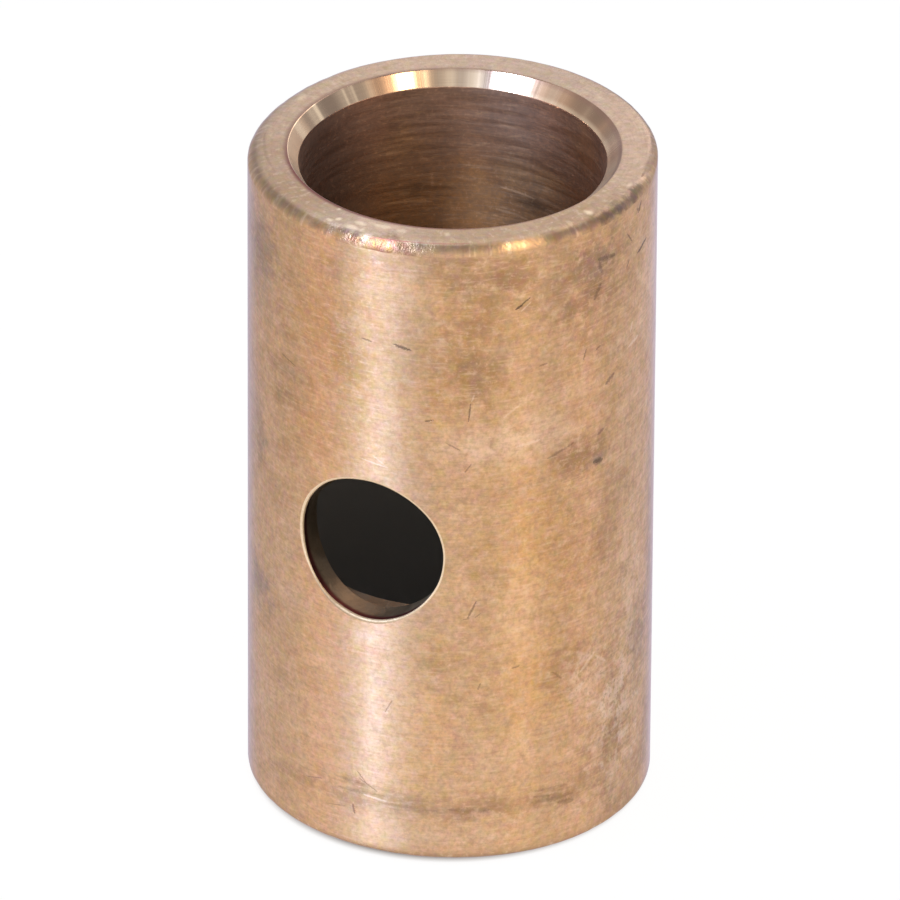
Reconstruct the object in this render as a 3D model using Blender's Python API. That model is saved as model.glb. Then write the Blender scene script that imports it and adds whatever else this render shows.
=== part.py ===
"""Cross-drilled bronze sleeve.

One turned tube stands on its lower end. Its bore takes a shaft, its outside takes a housing, and a
side hole opens into a wide, shallow relief turned inside the bore.

The frame is metres with +Z along the bore. The origin is the centre of the lower end, and the side
hole looks along -Y.
"""
import math

import bmesh
import bpy

# Driving dimensions, in metres. The bore follows the shaft, and the outside follows the bore.
SHAFT_DIAMETER = 0.01905
SHAFT_CLEARANCE = 0.00005
WALL_THICKNESS = 0.00315
LENGTH = 0.0440

# The chamfer at each mouth of the bore.
BORE_CHAMFER_WIDTH = 0.00079
BORE_CHAMFER_DEPTH = 0.00088

# The worn break on each outer edge, wider across the end face than down the side.
EDGE_BREAK_WIDTH = 0.00078
EDGE_BREAK_DEPTH = 0.00058

# The side hole, drilled through one wall only.
SIDE_HOLE_DIAMETER = 0.0097
SIDE_HOLE_HEIGHT = 0.0219

# The relief turned into the bore, centred on the side hole and a little wider than it.
RELIEF_DEPTH = 0.00125
RELIEF_MARGIN = 0.00035

# How finely round shapes are faceted, and the angle above which an edge stays sharp.
SLEEVE_SEGMENTS = 96
SIDE_HOLE_SEGMENTS = 64
SHARP_ANGLE = math.radians(25.0)

# Bronze, satin from turning and handling.
BRONZE_COLOR = (0.70, 0.42, 0.22, 1.0)
BRONZE_ROUGHNESS = 0.38
BRONZE_METALLIC = 1.0


BORE_RADIUS = (SHAFT_DIAMETER + SHAFT_CLEARANCE) / 2
OUTER_RADIUS = BORE_RADIUS + WALL_THICKNESS
SIDE_HOLE_RADIUS = SIDE_HOLE_DIAMETER / 2


def clear_scene():
    """Remove every object that the opened file holds."""
    for item in list(bpy.data.objects):
        bpy.data.objects.remove(item, do_unlink=True)


def bronze_material():
    """Return the one finish of the sleeve."""
    material = bpy.data.materials.new("turned_bronze")
    material.use_nodes = True
    shader = material.node_tree.nodes["Principled BSDF"]
    shader.inputs["Base Color"].default_value = BRONZE_COLOR
    shader.inputs["Roughness"].default_value = BRONZE_ROUGHNESS
    shader.inputs["Metallic"].default_value = BRONZE_METALLIC
    return material


def wall_section():
    """Return the wall's section as (radius, height) corners, down the outside and up the bore."""
    mouth = BORE_RADIUS + BORE_CHAMFER_WIDTH
    relief = BORE_RADIUS + RELIEF_DEPTH
    relief_half_width = SIDE_HOLE_RADIUS + RELIEF_MARGIN
    relief_bottom = SIDE_HOLE_HEIGHT - relief_half_width
    relief_top = SIDE_HOLE_HEIGHT + relief_half_width
    outside = [
        (OUTER_RADIUS - EDGE_BREAK_WIDTH, LENGTH),
        (OUTER_RADIUS, LENGTH - EDGE_BREAK_DEPTH),
        (OUTER_RADIUS, EDGE_BREAK_DEPTH),
        (OUTER_RADIUS - EDGE_BREAK_WIDTH, 0.0),
    ]
    inside = [
        (mouth, 0.0),
        (BORE_RADIUS, BORE_CHAMFER_DEPTH),
        (BORE_RADIUS, relief_bottom),
        (relief, relief_bottom),
        (relief, relief_top),
        (BORE_RADIUS, relief_top),
        (BORE_RADIUS, LENGTH - BORE_CHAMFER_DEPTH),
        (mouth, LENGTH),
    ]
    return outside + inside


def revolve(name, section, segments):
    """Turn a closed section about Z into a ring, and return the new object."""
    mesh = bpy.data.meshes.new(name)
    bm = bmesh.new()
    rings = []
    for radius, height in section:
        ring = []
        for step in range(segments):
            angle = 2 * math.pi * step / segments
            ring.append(bm.verts.new((radius * math.cos(angle), radius * math.sin(angle), height)))
        rings.append(ring)
    for upper, lower in zip(rings, rings[1:] + rings[:1]):
        for step in range(segments):
            after = (step + 1) % segments
            bm.faces.new((upper[step], lower[step], lower[after], upper[after]))
    bmesh.ops.recalc_face_normals(bm, faces=bm.faces)
    bm.to_mesh(mesh)
    bm.free()
    turned = bpy.data.objects.new(name, mesh)
    bpy.context.collection.objects.link(turned)
    return turned


def side_hole_cutter():
    """Return a wire cylinder along Y that runs from clear of the outside to the sleeve's axis."""
    reach = OUTER_RADIUS + SIDE_HOLE_RADIUS
    bpy.ops.mesh.primitive_cylinder_add(
        vertices=SIDE_HOLE_SEGMENTS,
        radius=SIDE_HOLE_RADIUS,
        depth=reach,
        location=(0.0, -reach / 2, SIDE_HOLE_HEIGHT),
        rotation=(math.pi / 2, 0.0, 0.0),
    )
    cutter = bpy.context.active_object
    cutter.name = "side_hole_cutter"
    cutter.display_type = "WIRE"
    cutter.hide_render = True
    return cutter


def drill(target, cutter):
    """Cut the target with the cutter, keep the result as its mesh, and remove the cutter."""
    cut = target.modifiers.new("side_hole", "BOOLEAN")
    cut.operation = "DIFFERENCE"
    cut.solver = "EXACT"
    cut.object = cutter
    bpy.context.view_layer.update()
    evaluated = target.evaluated_get(bpy.context.evaluated_depsgraph_get())
    drilled = bpy.data.meshes.new_from_object(evaluated)
    target.modifiers.clear()
    target.data = drilled
    bpy.data.objects.remove(cutter, do_unlink=True)


def build_sleeve():
    """Make the whole part: one turned and drilled tube."""
    sleeve = revolve("sleeve", wall_section(), SLEEVE_SEGMENTS)
    drill(sleeve, side_hole_cutter())
    sleeve.data.name = "sleeve"
    sleeve.data.materials.clear()
    sleeve.data.materials.append(bronze_material())
    sleeve.data.shade_smooth()
    sleeve.data.set_sharp_from_angle(angle=SHARP_ANGLE)
    return sleeve


clear_scene()
build_sleeve()
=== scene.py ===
# %% [markdown]
# # A cross-drilled bronze sleeve
#
# The object is a plain turned sleeve of bronze: a tube about as long as a thumb, with a chamfered bore,
# worn outer edges, and one hole through the side that opens into a wide relief inside the bore. It is
# a single piece of metal, so this lesson spends all its effort on one mesh and its finish.
#
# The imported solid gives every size. The mesh is then made afresh, fine enough to hold rounded edges, a
# deburred hole and small dents, and it stands where the solid stands.

# %% Load the frame
import math

import bmesh
import bpy
import numpy as np
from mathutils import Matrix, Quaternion, Vector, noise


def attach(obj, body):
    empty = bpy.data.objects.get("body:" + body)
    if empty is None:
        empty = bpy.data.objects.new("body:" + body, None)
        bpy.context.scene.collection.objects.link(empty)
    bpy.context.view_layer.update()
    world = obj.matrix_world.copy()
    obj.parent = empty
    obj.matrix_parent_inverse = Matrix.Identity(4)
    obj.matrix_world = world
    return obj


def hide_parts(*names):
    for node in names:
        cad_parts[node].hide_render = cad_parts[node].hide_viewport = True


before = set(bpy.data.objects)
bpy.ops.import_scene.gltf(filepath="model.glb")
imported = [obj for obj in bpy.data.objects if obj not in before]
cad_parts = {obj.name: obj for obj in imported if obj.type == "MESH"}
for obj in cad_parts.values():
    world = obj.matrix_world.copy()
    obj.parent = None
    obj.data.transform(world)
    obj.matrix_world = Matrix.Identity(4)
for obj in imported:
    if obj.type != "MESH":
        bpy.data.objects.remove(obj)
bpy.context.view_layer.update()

MM = 0.001

# %% [markdown]
# ## Read the sizes off the solid
#
# The solid's corners lie on rings, so each size can be measured: the largest radius is the outside, the
# smallest is the bore, and the corners on the upper end give the mouth and the flat ring. This keeps the
# two models together: when the solid changes, the lesson follows.

# %% Measure the rings of the solid
corners = np.array([v.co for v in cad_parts["sleeve"].data.vertices])
corner_radius = np.hypot(corners[:, 0], corners[:, 1])
corner_height = corners[:, 2]
TINY = 0.01 * MM

LENGTH = corner_height.max()
OUTER = corner_radius.max()
BORE = corner_radius.min()
on_top = corner_height > LENGTH - TINY
MOUTH = corner_radius[on_top].min()
RIM = corner_radius[on_top].max()
EDGE_DROP = LENGTH - corner_height[corner_radius > OUTER - TINY].max()
MOUTH_DROP = LENGTH - corner_height[corner_radius < BORE + TINY].max()
print(f"outside {2 * OUTER / MM:.2f}, bore {2 * BORE / MM:.2f}, length {LENGTH / MM:.2f} mm")
print(f"mouth chamfer {(MOUTH - BORE) / MM:.2f} x {MOUTH_DROP / MM:.2f} mm")
print(f"edge break {(OUTER - RIM) / MM:.2f} x {EDGE_DROP / MM:.2f} mm")

# %% [markdown]
# Away from the ends, the relief is the only ring between the bore and the outside. The side hole sits in
# the middle of its height.

# %% Measure the relief and the side hole
in_wall = (corner_radius > BORE + TINY) & (corner_radius < OUTER - TINY)
in_middle = np.abs(corner_height - LENGTH / 2) < LENGTH / 4
behind = corners[:, 1] > 0
relief_ring = in_wall & in_middle & behind
RELIEF = corner_radius[relief_ring].max()
RELIEF_BOTTOM = corner_height[relief_ring].min()
RELIEF_TOP = corner_height[relief_ring].max()
HOLE_Z = (RELIEF_BOTTOM + RELIEF_TOP) / 2
from_hole_axis = np.hypot(corners[:, 0], corner_height - HOLE_Z)
relief_half = (RELIEF_TOP - RELIEF_BOTTOM) / 2
HOLE = from_hole_axis[(from_hole_axis < relief_half - TINY) & ~behind].max()
print(f"relief {2 * RELIEF / MM:.2f} mm, from {RELIEF_BOTTOM / MM:.2f} to {RELIEF_TOP / MM:.2f} mm")
print(f"side hole {2 * HOLE / MM:.2f} mm at {HOLE_Z / MM:.2f} mm")

# %% [markdown]
# ## Camera
#
# A very long lens far away keeps the sleeve's two sides almost parallel, as in a catalogue picture. A
# short lens close by would make the upper end look much larger than the lower one. The camera stands to
# the right of the side hole and looks down on the sleeve, so both the upper end and the hole show.

# %% Set the camera
CAMERA_AZIMUTH = math.radians(24.17)
CAMERA_ELEVATION = math.radians(29.67)
CAMERA_ROLL = math.radians(0.351)
CAMERA_DISTANCE = 40.05 * 2 * OUTER
AIM_HEIGHT = 0.8858 * 2 * OUTER
AIM_ASIDE = -0.056 * MM
LENS = 651.3


def direction(azimuth, elevation):
    """Unit vector towards a compass point; azimuth 0 is the side hole's side and grows to its right."""
    flat = math.cos(elevation)
    return Vector((math.sin(azimuth) * flat, -math.cos(azimuth) * flat, math.sin(elevation)))


camera_data = bpy.data.cameras.new("camera")
camera_data.lens = LENS
camera_data.sensor_width = 36.0
camera_data.clip_start = 0.1
camera_data.clip_end = 20.0
camera = bpy.data.objects.new("camera", camera_data)
bpy.context.scene.collection.objects.link(camera)
camera_back = direction(CAMERA_AZIMUTH, CAMERA_ELEVATION)
aim = direction(CAMERA_AZIMUTH + math.radians(90), 0.0) * AIM_ASIDE + Vector((0.0, 0.0, AIM_HEIGHT))
camera.location = aim + camera_back * CAMERA_DISTANCE
camera.rotation_mode = "QUATERNION"
level = (-camera_back).to_track_quat("-Z", "Y")
camera.rotation_quaternion = level @ Quaternion((0, 0, 1), CAMERA_ROLL)
bpy.context.scene.camera = camera
print("camera", round(CAMERA_DISTANCE, 3), "m away")

# %% [markdown]
# ## Node helpers
#
# A finish is a tree of small sums. These helpers keep one sum to one line, so the tree can be read from
# top to bottom like a recipe.

# %% Helpers for node trees
def node(tree, kind, **settings):
    """Add a shader node and set its own properties."""
    made = tree.nodes.new("ShaderNode" + kind)
    for name, value in settings.items():
        setattr(made, name, value)
    return made


def put(tree, socket, value):
    """Link a socket to another, or write a plain value on it."""
    if isinstance(value, bpy.types.NodeSocket):
        tree.links.new(value, socket)
    else:
        socket.default_value = value


def calc(tree, operation, *values):
    made = node(tree, "Math", operation=operation)
    for socket, value in zip(made.inputs, values):
        put(tree, socket, value)
    return made.outputs[0]


def times(tree, one, other):
    return calc(tree, "MULTIPLY", one, other)


def plus(tree, one, other):
    return calc(tree, "ADD", one, other)


def turn_vector(tree, operation, *values):
    """A vector sum; Length and Dot Product give a plain number."""
    made = node(tree, "VectorMath", operation=operation)
    for socket, value in zip(made.inputs, values):
        put(tree, made.inputs["Scale"] if operation == "SCALE" and value is values[1] else socket, value)
    return made.outputs["Value" if operation in ("LENGTH", "DOT_PRODUCT") else "Vector"]


def ramp(tree, value, low, high, to_low=0.0, to_high=1.0):
    """Ease a value from to_low at low, to to_high at high."""
    made = node(tree, "MapRange", interpolation_type="SMOOTHSTEP", clamp=False)
    for name, number in zip(("Value", "From Min", "From Max", "To Min", "To Max"),
                            (value, low, high, to_low, to_high)):
        put(tree, made.inputs[name], number)
    return made.outputs["Result"]


def blend(tree, share, one, other):
    """Mix two colours; share 0 gives the first."""
    made = node(tree, "Mix", data_type="RGBA", clamp_factor=True)
    put(tree, made.inputs[0], share)
    put(tree, made.inputs[6], one)
    put(tree, made.inputs[7], other)
    return made.outputs[2]


def paint(tree, color, *coats):
    """Lay coats over a colour, each a pair of its share of the surface and its own colour."""
    for share, coat in coats:
        color = blend(tree, share, color, coat)
    return color


def grain(tree, vector, scale, detail=2.0, sharp=0.5, bend=0.0):
    """Noise from 0 to 1 along a vector."""
    made = node(tree, "TexNoise")
    put(tree, made.inputs["Vector"], vector)
    settings = {"Scale": scale, "Detail": detail, "Roughness": sharp, "Distortion": bend}
    for name, number in settings.items():
        put(tree, made.inputs[name], number)
    return made.outputs["Fac"]


def combine(tree, x, y, z):
    made = node(tree, "CombineXYZ")
    for socket, value in zip(made.inputs, (x, y, z)):
        put(tree, socket, value)
    return made.outputs[0]


def split(tree, vector):
    made = node(tree, "SeparateXYZ")
    put(tree, made.inputs[0], vector)
    return made.outputs


# %% [markdown]
# ## Floor
#
# The sleeve stands on a pale floor. Seen by the camera or in the metal, the floor shows white, yet it
# still takes a soft shadow, because part of what shows is its lit surface. A light path tells such rays
# from the others, so no lamp has to burn the floor white. Close to the foot the white fades out, which
# leaves a soft line of shadow where the sleeve touches the floor.

# %% Floor that shows white but keeps the shadow
FLOOR_GREY = 0.80
FLOOR_LIT = 0.14
FLOOR_GLOW = 0.93
SHADOW_REACH = 0.95 * MM
SHADOW_END = 0.10 * MM


def seen_or_mirrored(tree):
    """Return a socket that is 1 for rays from the camera or a shiny surface, and 0 for others."""
    path = node(tree, "LightPath").outputs
    either = calc(tree, "MAXIMUM", path["Is Camera Ray"], path["Is Glossy Ray"])
    return calc(tree, "MAXIMUM", either, path["Is Transmission Ray"])


def emptied(data):
    """Switch a material or a world to nodes and return its tree, with nothing in it."""
    data.use_nodes = True
    data.node_tree.nodes.clear()
    return data.node_tree


def shade(tree, kind, grey, strength=None):
    """Add a plain white or grey shader and return its output."""
    made = node(tree, kind)
    put(tree, made.inputs["Color"], (grey, grey, grey, 1.0))
    if strength is not None:
        put(tree, made.inputs["Strength"], strength)
    return made.outputs[0]


def mix_shaders(tree, share, one, other):
    made = node(tree, "MixShader")
    for socket, value in zip(made.inputs, (share, one, other)):
        put(tree, socket, value)
    return made.outputs[0]


def floor_material():
    """White where it is seen or mirrored, grey for other rays, and shadowed under the sleeve's foot."""
    material = bpy.data.materials.new("pale_floor")
    tree = emptied(material)
    plain = shade(tree, "BsdfDiffuse", FLOOR_GREY)
    both = node(tree, "AddShader")
    put(tree, both.inputs[0], shade(tree, "BsdfDiffuse", FLOOR_LIT))
    put(tree, both.inputs[1], shade(tree, "Emission", 1.0, FLOOR_GLOW))
    away = turn_vector(tree, "LENGTH", node(tree, "TexCoord").outputs["Object"])
    outside = node(tree, "MapRange")
    put(tree, outside.inputs["Value"], away)
    put(tree, outside.inputs["From Min"], OUTER - SHADOW_REACH)
    put(tree, outside.inputs["From Max"], OUTER - SHADOW_END)
    white = times(tree, seen_or_mirrored(tree), outside.outputs[0])
    shown = mix_shaders(tree, white, plain, both.outputs[0])
    put(tree, node(tree, "OutputMaterial").inputs["Surface"], shown)
    return material


FLOOR_HALF = 3.0
FLOOR_CORNERS = [(x * FLOOR_HALF, y * FLOOR_HALF, 0) for x, y in ((-1, -1), (1, -1), (1, 1), (-1, 1))]
floor_mesh = bpy.data.meshes.new("floor")
floor_mesh.from_pydata(FLOOR_CORNERS, [], [(0, 1, 2, 3)])
floor = bpy.data.objects.new("floor", floor_mesh)
bpy.context.scene.collection.objects.link(floor)
floor.data.materials.append(floor_material())
print("floor:", 2 * FLOOR_HALF, "m square")

# %% [markdown]
# ## Studio light
#
# Satin metal shows its lamps as soft bands, so the lamps are placed by where their bands should fall. Two
# hang high in front, one on each side, and the turned wall draws each of them out into an upright band.
# Weak ones low at the sides and in front warm the wall, and a large one behind lights the bore's mouth. A
# picture of a studio could do the same, but lamps can be moved one by one.

# %% Sky and lamps
WHITE = (1.0, 1.0, 1.0, 1.0)
SKY_LIGHT = 0.55
SKY_IN_METAL = (0.76, 0.86, 0.97, 1.0)


def background(tree, color, strength):
    made = node(tree, "Background")
    put(tree, made.inputs["Color"], color)
    put(tree, made.inputs["Strength"], strength)
    return made.outputs[0]


def set_world():
    """An even sky that lights softly, and shows white to the camera and bluish white in the metal."""
    world = bpy.data.worlds.new("studio")
    bpy.context.scene.world = world
    tree = emptied(world)
    path = node(tree, "LightPath").outputs
    shown = background(tree, WHITE, SKY_LIGHT)
    by_ray = (("Is Transmission Ray", WHITE), ("Is Glossy Ray", SKY_IN_METAL), ("Is Camera Ray", WHITE))
    for ray, color in by_ray:
        shown = mix_shaders(tree, path[ray], shown, background(tree, color, 1.0))
    put(tree, node(tree, "OutputWorld").inputs["Surface"], shown)


def lamp(name, azimuth, elevation, distance, width, height, watts, color):
    """Hang a soft rectangular lamp that faces the sleeve's middle."""
    data = bpy.data.lights.new(name, "AREA")
    data.shape = "RECTANGLE"
    data.size = width
    data.size_y = height
    data.energy = watts
    data.color = color
    hung = bpy.data.objects.new(name, data)
    bpy.context.scene.collection.objects.link(hung)
    towards = direction(CAMERA_AZIMUTH + math.radians(azimuth), math.radians(elevation))
    hung.location = Vector((0, 0, LENGTH / 2)) + towards * distance
    hung.rotation_euler = towards.to_track_quat("Z", "Y").to_euler()
    hung.visible_camera = False
    hung.visible_diffuse = False


# Name, azimuth from the camera, elevation, distance, width, height, watts, colour
LAMPS = (
    ("key_left", -50, 49, 0.60, 0.06, 0.20, 7.2, (0.46, 0.64, 1.0)),
    ("fill_right", 45, 50, 0.60, 0.08, 0.20, 1.40, (1.0, 0.86, 0.60)),
    ("side_right", 74, 14, 0.60, 0.20, 0.16, 0.34, (1.0, 0.72, 0.60)),
    ("side_left", -72, 14, 0.60, 0.20, 0.16, 0.28, (1.0, 0.55, 0.36)),
    ("front_soft", 5, 14, 0.60, 0.30, 0.16, 0.35, (1.0, 0.85, 0.70)),
    ("soft_back", 145, 36, 0.80, 0.50, 0.30, 1.0, (0.95, 0.97, 1.0)),
)
set_world()
for settings in LAMPS:
    lamp(*settings)
bpy.context.scene.view_settings.view_transform = "Standard"

# %% [markdown]
# ## The mesh, ring by ring
#
# A lathe makes the real sleeve, so the mesh is a stack of rings round the bore's axis. Each ring has one
# point for each column. Rings are cheap to bend: the radius and height of a ring may change with the
# angle, and that is how worn edges and dents get in.
#
# A Boolean cut would leave long thin faces round the side hole, which shade badly on a curved wall. So
# the wall keeps a square window open there, and a fan of rings joins the window to the hole's rim.

# %% Points and faces in one list
COLUMNS = 360
THETA = np.arange(COLUMNS) * 2 * math.pi / COLUMNS
ZONES = ("wall", "edge", "end_face", "mouth", "bore", "relief", "drilled", "deburr")
points = []
faces = []
face_zones = []


def add_points(radius, theta, height):
    """Add points given in polar form, with angle 0 towards the side hole, and return their numbers."""
    radius, theta, height = np.broadcast_arrays(radius, theta, height)
    first = len(points)
    points.extend(zip(radius * np.sin(theta), -radius * np.cos(theta), height))
    return list(range(first, len(points)))


def skin(one, other, zone, skip=()):
    """Join two closed rows of points with four-sided faces, leaving out the columns in skip."""
    for i in range(len(one)):
        if i in skip:
            continue
        j = (i + 1) % len(one)
        faces.append((one[i], one[j], other[j], other[i]))
        face_zones.append(ZONES.index(zone))


print("zones:", *ZONES)

# %% [markdown]
# Real wear is never even. `ripple` is smooth noise that joins up with itself after a full turn, and it
# drives how far each edge is worn at each angle. `waves` does the same over the whole outside.

# %% Smooth noise round the sleeve
NOISE_GAIN = 1.6


def ripple(theta, detail, seed):
    """Smooth noise from about -1 to 1 that joins up after a full turn."""
    theta = np.atleast_1d(theta)
    spots = [Vector((math.cos(t) * detail, math.sin(t) * detail, seed)) for t in theta]
    return np.array([noise.noise(spot) * NOISE_GAIN for spot in spots])


def waves(theta, height, size, seed):
    """Smooth noise over a cylinder of the outer radius, with bumps about as wide as size."""
    theta, height = np.broadcast_arrays(theta, height)
    out = np.empty(theta.shape)
    for i, (t, h) in enumerate(zip(theta.ravel(), height.ravel())):
        spot = Vector((math.sin(t) * OUTER / size, math.cos(t) * OUTER / size, h / size + seed))
        out.flat[i] = noise.noise(spot)
    return out


# %% Waves and small dents in the outside
WAVE_DEPTH = 0.006 * MM
WAVE_SIZE = 6.0 * MM
# Angle in degrees, then height, size and depth in mm
DENTS = (
    (71.0, 40.2, 0.45, 0.030),
    (66.0, 38.6, 0.60, 0.035),
    (60.0, 35.8, 0.50, 0.025),
    (-52.0, 8.4, 0.50, 0.020),
    (-118.0, 30.5, 0.60, 0.030),
    (158.0, 12.0, 0.55, 0.030),
    (128.0, 33.0, 0.45, 0.025),
)


def outside_radius(theta, height):
    """The outer wall's radius at an angle and height, with its slight waves and dents."""
    theta, height = np.broadcast_arrays(theta, height)
    radius = OUTER - WAVE_DEPTH * (1 + waves(theta, height, WAVE_SIZE, seed=3.0))
    for angle, up, size, depth in DENTS:
        turn = np.angle(np.exp(1j * (theta - math.radians(angle))))
        away = np.hypot(turn * OUTER, height - up * MM) / (size * MM)
        radius = radius - depth * MM * np.exp(-away ** 2)
    return radius


print("dents:", len(DENTS))

# %% [markdown]
# ## Profile of the two ends
#
# Each outer edge was broken with a file and then wore round. Its section is a curve between a straight
# chamfer and a quarter ellipse: the power 1 gives the chamfer and 2 the ellipse. The bore's mouth is a
# clean turned chamfer with crisp corners. A Bevel modifier could round an edge too, but only by the same
# width all the way round, and no worn edge is like that.

# %% How far each edge has worn
# Angle in degrees, then width across the end face and depth down the side in mm
UPPER_WEAR = (
    (24, 0.90, 0.74),
    (74, 0.82, 0.64),
    (114, 0.55, 0.36),
    (134, 0.65, 0.45),
    (146, 0.52, 0.36),
    (168, 0.42, 0.28),
    (198, 0.52, 0.38),
    (214, 0.75, 0.55),
    (234, 0.95, 0.72),
    (254, 1.20, 0.95),
    (264, 1.28, 1.00),
    (282, 1.20, 0.90),
    (310, 1.00, 0.75),
    (344, 0.92, 0.80),
)
LOWER_WEAR = (
    (0, 1.15, 0.80),
    (24, 1.05, 0.75),
    (60, 0.75, 0.50),
    (120, 0.60, 0.45),
    (210, 0.60, 0.40),
    (300, 0.95, 0.65),
)
WEAR_SPAN = 31


def worn(wear, column):
    """Read one column of a wear list, in metres, evened out from angle to angle."""
    angles = [math.radians(row[0]) for row in wear]
    values = [row[column] * MM for row in wear]
    raw = np.interp(THETA, angles, values, period=2 * math.pi)
    even = np.hanning(WEAR_SPAN) / np.hanning(WEAR_SPAN).sum()
    half = WEAR_SPAN // 2
    return np.convolve(np.concatenate((raw[-half:], raw, raw[:half])), even, "valid")


print("worn edge:", len(UPPER_WEAR), "places on the upper end,", len(LOWER_WEAR), "on the lower")

# %% Rings of one end, from the outer wall in to the bore
EDGE_STEPS = 9
EDGE_POWER = 1.8
EDGE_WAVER = 0.05
FACE_RINGS = 6
CORNER = 0.025 * MM
MOUTH_ASIDE = 0.13 * MM
MOUTH_DEEPEST = math.radians(114)


def end_rings(upper):
    """Return the rings of one end as (zone, radius, height), from the outer wall in to the bore."""
    seed = 11.0 if upper else 23.0
    wear = UPPER_WEAR if upper else LOWER_WEAR
    width = worn(wear, 1) * (1 + EDGE_WAVER * ripple(THETA, 14.0, seed))
    drop = worn(wear, 2) * (1 + EDGE_WAVER * ripple(THETA, 17.0, seed))
    mouth = MOUTH + MOUTH_ASIDE * np.cos(THETA - MOUTH_DEEPEST)
    rings = []
    wall = outside_radius(THETA, LENGTH - drop if upper else drop)
    for step in range(EDGE_STEPS + 1):
        turn = 0.5 * math.pi * step / EDGE_STEPS
        out = math.cos(turn) ** (2 / EDGE_POWER)
        up = math.sin(turn) ** (2 / EDGE_POWER)
        rings.append(("edge", wall - width * (1 - out), drop * (1 - up)))
    inner = mouth + 2 * CORNER
    start = wall - width
    for step in range(1, FACE_RINGS + 1):
        share = step / FACE_RINGS
        rings.append(("end_face", start + (inner - start) * share, 0.0))
    rings.append(("end_face", mouth + CORNER, 0.0))
    slope = Vector((BORE - MOUTH, MOUTH_DROP)).normalized() * CORNER
    for steps in (1, 2):
        rings.append(("mouth", mouth + steps * slope.x, steps * slope.y))
    for steps in (2, 1):
        rings.append(("mouth", BORE - steps * slope.x, MOUTH_DROP - steps * slope.y))
    for steps in (1, 2):
        rings.append(("bore", BORE, MOUTH_DROP + steps * CORNER))
    if upper:
        rings = [(zone, radius, LENGTH - depth) for zone, radius, depth in rings]
    return rings


def stack(rings, row):
    """Add rings one after another, skin each to the row before it, and return the last row."""
    for zone, radius, height in rings:
        after = add_points(radius, THETA, height)
        skin(row, after, zone)
        row = after
    return row


# %% Outer wall rows, with finer ones beside the side hole
WINDOW = 30
WINDOW_ROWS = 44
END_ROWS = 46
WINDOW_HALF = WINDOW * OUTER * 2 * math.pi / COLUMNS
top = end_rings(True)
bottom = end_rings(False)
upper_edge = top[0][2]
lower_edge = bottom[0][2]


def wall_rows(low, high, count):
    """Return heights of count rows above low, up to and with high; either may change with the angle."""
    return [low + (high - low) * (i + 1) / count for i in range(count)]


window_low = HOLE_Z - WINDOW_HALF
window_high = HOLE_Z + WINDOW_HALF
heights = [lower_edge]
heights += wall_rows(lower_edge, window_low, END_ROWS)
heights += wall_rows(window_low, window_high, WINDOW_ROWS)
heights += wall_rows(window_high, upper_edge, END_ROWS)
wall_grid = [add_points(outside_radius(THETA, h), THETA, h) for h in heights]
window_first = END_ROWS
window_last = window_first + WINDOW_ROWS
window_columns = {c % COLUMNS for c in range(-WINDOW, WINDOW)}
for number, (row, after) in enumerate(zip(wall_grid, wall_grid[1:])):
    in_window = window_first <= number < window_last
    skin(row, after, "wall", skip=window_columns if in_window else ())
print("outer wall:", len(wall_grid), "rows of", COLUMNS)

# %% Ends, bore and relief
BORE_RINGS = 16
upper_bore = stack(top[1:], wall_grid[-1])
rings = []
for h in wall_rows(LENGTH - MOUTH_DROP - 2 * CORNER, RELIEF_TOP, BORE_RINGS):
    rings.append(("bore", BORE, h))
rings.append(("relief", RELIEF, RELIEF_TOP))
relief_ceiling = stack(rings, upper_bore)

relief_grid = [relief_ceiling]
for h in wall_rows(RELIEF_TOP, RELIEF_BOTTOM, WINDOW_ROWS):
    relief_grid.append(add_points(RELIEF, THETA, h))
for row, after in zip(relief_grid, relief_grid[1:]):
    skin(row, after, "relief", skip=window_columns)

rings = [("drilled", BORE, RELIEF_BOTTOM)]
for h in wall_rows(RELIEF_BOTTOM, MOUTH_DROP + 2 * CORNER, BORE_RINGS):
    rings.append(("bore", BORE, h))
lower_bore = stack(rings, relief_grid[-1])
lower_end = stack(list(reversed(bottom[1:-1])), lower_bore)
skin(lower_end, wall_grid[0], "edge")
print("points so far:", len(points))

# %% [markdown]
# ## The side hole
#
# The drill met a curved wall, so the hole's rim is no flat circle: it dips at the left and right, where
# the wall falls away. Each of its points comes from the same rule: a point of the drilled outline, pushed
# along the drill's direction until it meets a cylinder.

# %% Outline of the drilled hole
HOLE_HALF_WIDTH = HOLE - 0.08 * MM
HOLE_HALF_HEIGHT = HOLE + 0.07 * MM
HOLE_WAVER = 0.004
DEBURR = 0.17 * MM
DEBURR_WAVER = 0.35
DEBURR_STEPS = 4
DRILLED_RINGS = 12
FAN_RINGS = 14
RELIEF_FAN_RINGS = 5
FAN_CROWDING = 1.35


def outline(phi, grow=0.0):
    """Sideways place and height of the drilled outline at angle phi, grown outward by grow."""
    wobble = 1 + HOLE_WAVER * ripple(phi, 2.2, seed=41.0)
    across = (HOLE_HALF_WIDTH * wobble + grow) * np.cos(phi)
    height = HOLE_Z + (HOLE_HALF_HEIGHT * wobble + grow) * np.sin(phi)
    return across, height


def window_edge(grid, first, last):
    """Return point numbers round a grid's window, counter-clockwise from its lower left corner."""
    left = -WINDOW % COLUMNS
    right = WINDOW
    around = [grid[first][c % COLUMNS] for c in range(-WINDOW, WINDOW + 1)]
    around += [grid[r][right] for r in range(first + 1, last + 1)]
    around += [grid[last][c % COLUMNS] for c in range(WINDOW - 1, -WINDOW - 1, -1)]
    around += [grid[r][left] for r in range(last - 1, first, -1)]
    return around


def unrolled(numbers):
    """Angle and height of the numbered points."""
    places = np.array([points[n] for n in numbers])
    return np.arctan2(places[:, 0], -places[:, 1]), places[:, 2]


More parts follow.
